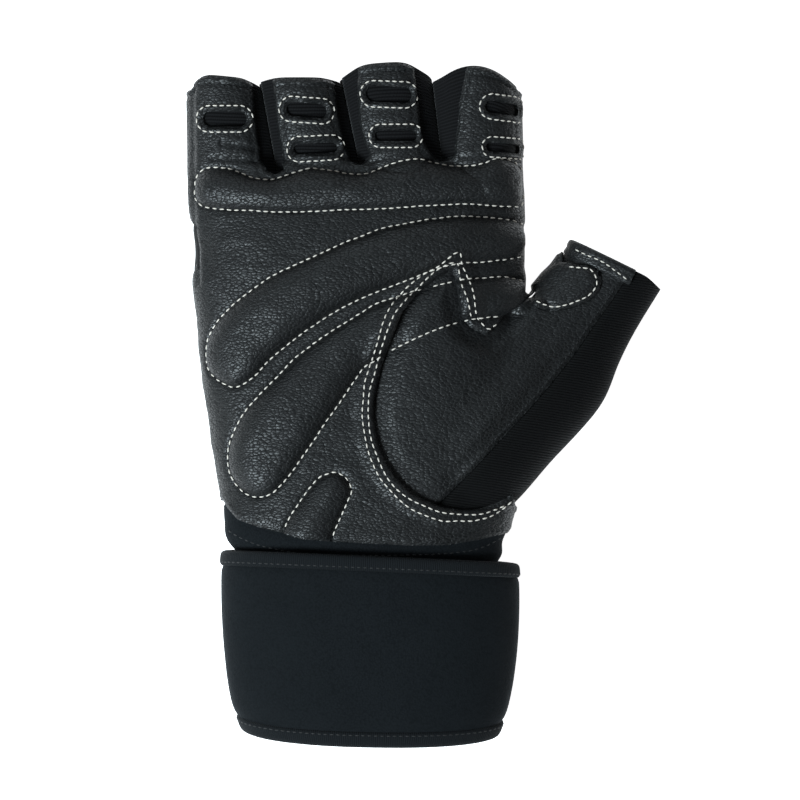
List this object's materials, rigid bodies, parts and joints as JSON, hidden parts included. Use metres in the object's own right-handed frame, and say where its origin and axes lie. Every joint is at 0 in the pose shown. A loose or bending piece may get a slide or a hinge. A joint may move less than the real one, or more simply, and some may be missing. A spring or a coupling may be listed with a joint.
{
  "type": "weightlifting glove",
  "caption": "Right-hand half-finger leather lifting glove with padded palm, slotted finger fronts, thumb tube and wound wrist strap.",
  "frame": {"origin": "on the surface that the glove lies on, under the middle of its box", "axes": "+Z out of the palm, +Y towards the fingers, +X towards the thumb"},
  "size_m": [0.1524, 0.2178, 0.041],
  "materials": {
    "palm_leather": "grained black leather, semi-matt",
    "thumb_leather": "smooth black leather, semi-matt",
    "ribbed_knit": "black ribbed knit",
    "stretch_fabric": "black stretch fabric",
    "neoprene": "black neoprene with a knit face",
    "binding": "black woven binding tape"
  },
  "bodies": {
    "root": {"palm_panel": "palm_leather", "thumb_panel": "thumb_leather", "thumb_hem": "thumb_leather", "thumb_patch": "palm_leather", "thumb_back": "ribbed_knit", "back_panel": "stretch_fabric", "finger_sleeve_little": "ribbed_knit", "finger_sleeve_ring": "ribbed_knit", "finger_sleeve_middle": "ribbed_knit", "finger_sleeve_index": "ribbed_knit", "cuff_band": "neoprene", "wrist_wrap": "neoprene", "wrap_binding_top": "binding", "wrap_binding_bottom": "binding", "wrap_closure": "binding"}
  },
  "joints": []
}
